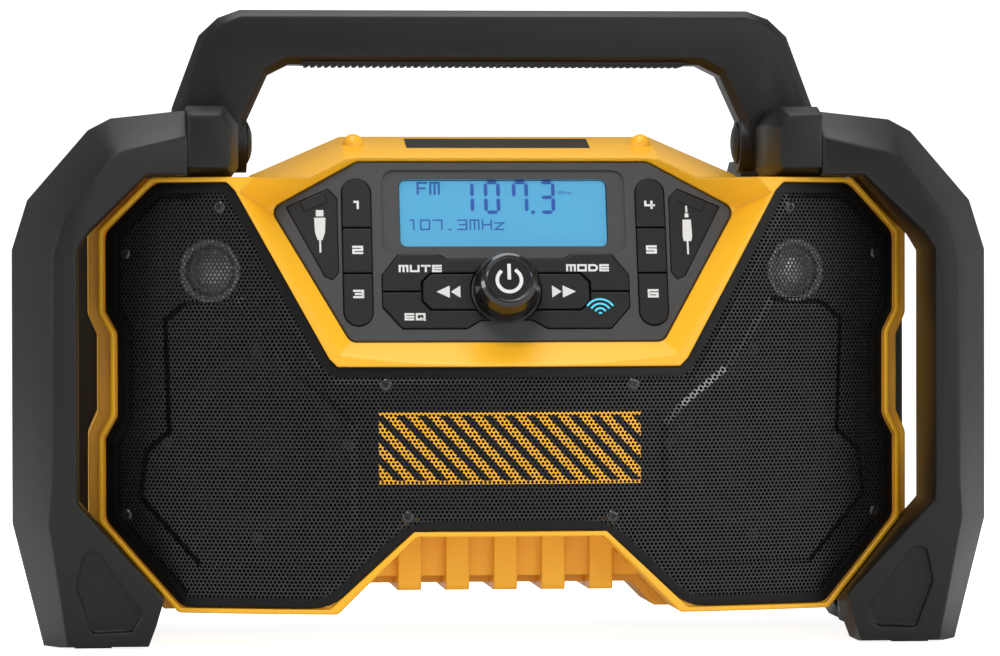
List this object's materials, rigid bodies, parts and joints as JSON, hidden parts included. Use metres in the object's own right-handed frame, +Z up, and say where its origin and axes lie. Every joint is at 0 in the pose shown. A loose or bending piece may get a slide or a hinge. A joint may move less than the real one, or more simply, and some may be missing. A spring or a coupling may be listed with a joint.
{
  "type": "jobsite radio",
  "caption": "Rugged portable radio with a bowed two-lobe front, tilted control console, bumper cage with feet, folding carrying handle and rear battery bay.",
  "frame": {"origin": "middle of the footprint, on the ground", "axes": "+X to the viewer's right of the front, +Y to the rear, +Z up"},
  "size_m": [0.415, 0.2, 0.271],
  "materials": {
    "yellow_plastic": "moulded, fine texture",
    "black_plastic": "moulded, satin",
    "soft_black": "soft-touch, satin",
    "grip_rubber": "matt",
    "steel": "satin",
    "grille_steel": "black powder coat",
    "dark_screws": "black oxide",
    "panel_plastic": "satin",
    "window": "clear",
    "display": "lit blue",
    "board": "solder mask",
    "aluminium": "satin",
    "key_rubber": "satin",
    "socket_metal": "bright",
    "contacts": "plated",
    "knob_plastic": "gloss",
    "magnet": "dull",
    "dome": "bright",
    "cone": "matt"
  },
  "bodies": {
    "radio": {"front_housing": "yellow_plastic", "rear_housing": "black_plastic", "left_front_bar": "soft_black", "right_front_bar": "soft_black", "left_rear_bar": "soft_black", "right_rear_bar": "soft_black", "left_top_bracket": "soft_black", "right_top_bracket": "soft_black", "handle_pins": "steel", "foot_pads": "grip_rubber", "housing_gasket": "grip_rubber", "speaker_grille": "grille_steel", "speaker_baffle": "black_plastic", "grille_screws": "dark_screws", "housing_screws": "dark_screws", "cage_screws": "steel", "inner_screws": "steel", "control_panel": "panel_plastic", "display_window": "window", "display_module": "display", "control_board": "board", "amplifier_board": "board", "heat_sink": "aluminium", "key_mat": "key_rubber", "usb_socket": "socket_metal", "aux_socket": "black_plastic", "power_jack": "black_plastic", "battery_dock": "black_plastic", "battery_contacts": "contacts", "encoder_body": "black_plastic", "woofer_magnets": "magnet", "tweeter_domes": "dome", "left_woofer_frame": "black_plastic", "left_woofer_cone": "cone", "left_tweeter": "black_plastic", "right_woofer_frame": "black_plastic", "right_woofer_cone": "cone", "right_tweeter": "black_plastic"},
    "encoder_rotor": {"encoder_rotor": "aluminium"},
    "knob": {"knob": "knob_plastic", "knob_shaft": "steel"},
    "handle": {"handle": "black_plastic", "handle_grip_insert": "grip_rubber", "handle_hub_caps": "black_plastic"},
    "usb_cover": {"usb_cover": "key_rubber"},
    "aux_cover": {"aux_cover": "key_rubber"},
    "power_jack_cover": {"power_jack_cover": "key_rubber"},
    "preset_key_1": {"preset_key_1": "key_rubber"},
    "preset_key_2": {"preset_key_2": "key_rubber"},
    "preset_key_3": {"preset_key_3": "key_rubber"},
    "preset_key_4": {"preset_key_4": "key_rubber"},
    "preset_key_5": {"preset_key_5": "key_rubber"},
    "preset_key_6": {"preset_key_6": "key_rubber"},
    "mute_key": {"mute_key": "key_rubber"},
    "eq_key": {"eq_key": "key_rubber"},
    "mode_key": {"mode_key": "key_rubber"},
    "pairing_key": {"pairing_key": "key_rubber"},
    "tune_down_key": {"tune_down_key": "key_rubber"},
    "tune_up_key": {"tune_up_key": "key_rubber"}
  },
  "joints": [
    {"name": "handle_fold", "type": "hinge", "parent": "radio", "child": "handle", "pos_m": [0, -0.015, 0.214], "axis": [-1, 0, 0], "range_deg": [0, 75]},
    {"name": "knob_turn", "type": "hinge", "parent": "radio", "child": "encoder_rotor", "pos_m": [0, -0.07039, 0.14753], "axis": [0, -0.9511, 0.309], "continuous": true},
    {"name": "knob_push", "type": "slide", "parent": "encoder_rotor", "child": "knob", "axis": [0, 0.9511, -0.309], "range_m": [0, 0.0008], "stiffness_N_per_m": 2500},
    {"name": "usb_cover_hinge", "type": "hinge", "parent": "radio", "child": "usb_cover", "pos_m": [-0.0832, -0.06525, 0.18923], "axis": [-0.9123, -0.1265, -0.3895], "range_deg": [0, 100]},
    {"name": "aux_cover_hinge", "type": "hinge", "parent": "radio", "child": "aux_cover", "pos_m": [0.0832, -0.06525, 0.18923], "axis": [-0.9123, 0.1265, 0.3895], "range_deg": [0, 100]},
    {"name": "power_jack_cover_hinge", "type": "hinge", "parent": "radio", "child": "power_jack_cover", "pos_m": [-0.112, 0.088, 0.063], "axis": [1, 0, 0], "range_deg": [0, 110]},
    {"name": "preset_key_1_press", "type": "slide", "parent": "radio", "child": "preset_key_1", "axis": [0, 0.9511, -0.309], "range_m": [0, 0.0008], "stiffness_N_per_m": 1500},
    {"name": "preset_key_2_press", "type": "slide", "parent": "radio", "child": "preset_key_2", "axis": [0, 0.9511, -0.309], "range_m": [0, 0.0008], "stiffness_N_per_m": 1500},
    {"name": "preset_key_3_press", "type": "slide", "parent": "radio", "child": "preset_key_3", "axis": [0, 0.9511, -0.309], "range_m": [0, 0.0008], "stiffness_N_per_m": 1500},
    {"name": "preset_key_4_press", "type": "slide", "parent": "radio", "child": "preset_key_4", "axis": [0, 0.9511, -0.309], "range_m": [0, 0.0008], "stiffness_N_per_m": 1500},
    {"name": "preset_key_5_press", "type": "slide", "parent": "radio", "child": "preset_key_5", "axis": [0, 0.9511, -0.309], "range_m": [0, 0.0008], "stiffness_N_per_m": 1500},
    {"name": "preset_key_6_press", "type": "slide", "parent": "radio", "child": "preset_key_6", "axis": [0, 0.9511, -0.309], "range_m": [0, 0.0008], "stiffness_N_per_m": 1500},
    {"name": "mute_key_press", "type": "slide", "parent": "radio", "child": "mute_key", "axis": [0, 0.9511, -0.309], "range_m": [0, 0.0008], "stiffness_N_per_m": 1500},
    {"name": "eq_key_press", "type": "slide", "parent": "radio", "child": "eq_key", "axis": [0, 0.9511, -0.309], "range_m": [0, 0.0008], "stiffness_N_per_m": 1500},
    {"name": "mode_key_press", "type": "slide", "parent": "radio", "child": "mode_key", "axis": [0, 0.9511, -0.309], "range_m": [0, 0.0008], "stiffness_N_per_m": 1500},
    {"name": "pairing_key_press", "type": "slide", "parent": "radio", "child": "pairing_key", "axis": [0, 0.9511, -0.309], "range_m": [0, 0.0008], "stiffness_N_per_m": 1500},
    {"name": "tune_down_key_press", "type": "slide", "parent": "radio", "child": "tune_down_key", "axis": [0, 0.9511, -0.309], "range_m": [0, 0.0008], "stiffness_N_per_m": 1500},
    {"name": "tune_up_key_press", "type": "slide", "parent": "radio", "child": "tune_up_key", "axis": [0, 0.9511, -0.309], "range_m": [0, 0.0008], "stiffness_N_per_m": 1500}
  ]
}
